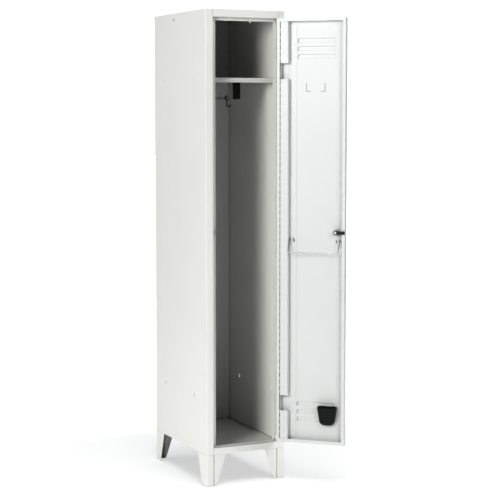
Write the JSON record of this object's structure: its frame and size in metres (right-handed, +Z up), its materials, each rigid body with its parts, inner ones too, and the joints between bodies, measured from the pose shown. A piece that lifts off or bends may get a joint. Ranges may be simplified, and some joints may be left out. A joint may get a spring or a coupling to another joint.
{
  "type": "clothes locker",
  "caption": "Tall narrow sheet-steel clothes locker on folded legs with one louvred door, hat shelf, coat rail, cam lock, umbrella bail and drip cup.",
  "frame": {"origin": "outer corner of the front left foot, on the floor", "axes": "+X to the locker's right as seen from the front, +Y to its back, +Z up"},
  "size_m": [0.4946, 0.7147, 1.8],
  "materials": {
    "grey_paint": "light grey powder coat, satin",
    "zinc_plate": "bright zinc plate",
    "black_plastic": "matt black moulding",
    "nickel_plate": "nickel plate",
    "dark_steel": "dark oiled steel"
  },
  "bodies": {
    "cabinet": {"left_side_panel": "grey_paint", "right_side_panel": "grey_paint", "back_panel": "grey_paint", "top_panel": "grey_paint", "bottom_rail": "grey_paint", "floor_panel": "grey_paint", "hat_shelf": "grey_paint", "shelf_rivets": "grey_paint", "coat_rail": "zinc_plate", "coat_rail_bracket": "black_plastic", "bracket_screws": "zinc_plate", "coat_rail_socket": "black_plastic", "front_left_leg": "grey_paint", "front_right_leg": "grey_paint", "rear_left_leg": "grey_paint", "rear_right_leg": "grey_paint", "front_left_leg_plate": "grey_paint", "front_right_leg_plate": "grey_paint", "rear_left_leg_plate": "grey_paint", "rear_right_leg_plate": "grey_paint", "hinge_frame_leaf": "zinc_plate", "hinge_pin": "zinc_plate"},
    "door": {"door_panel": "grey_paint", "door_stiffener": "grey_paint", "hinge_door_leaf": "zinc_plate", "lock_housing": "nickel_plate", "lock_nut": "nickel_plate", "bail_clips": "grey_paint"},
    "lock": {"lock_plug": "nickel_plate", "lock_cam": "dark_steel", "lock_screw": "zinc_plate"},
    "bail": {"umbrella_bail": "zinc_plate"},
    "cup": {"drip_cup": "black_plastic"},
    "hook": {"coat_hook": "black_plastic"}
  },
  "joints": [
    {"name": "door_hinge", "type": "hinge", "parent": "cabinet", "child": "door", "pos_m": [0.3025, -0.003, 0.965], "axis": [0, 0, 1], "range_deg": [-136, 39]},
    {"name": "lock_turn", "type": "hinge", "parent": "door", "child": "lock", "pos_m": [0.46802, -0.16701, 0.966], "axis": [-0.6947, -0.7193, 0], "range_deg": [0, 60]},
    {"name": "bail_lift", "type": "hinge", "parent": "door", "child": "bail", "pos_m": [0.40271, -0.11228, 0.937], "axis": [-0.7193, 0.6947, 0], "range_deg": [0, 80]},
    {"name": "cup_lift", "type": "slide", "parent": "door", "child": "cup", "axis": [0, 0, 1], "range_m": [0, 0.0065]},
    {"name": "hook_slide", "type": "slide", "parent": "cabinet", "child": "hook", "axis": [0, 1, 0], "range_m": [-0.076, 0.308]}
  ]
}
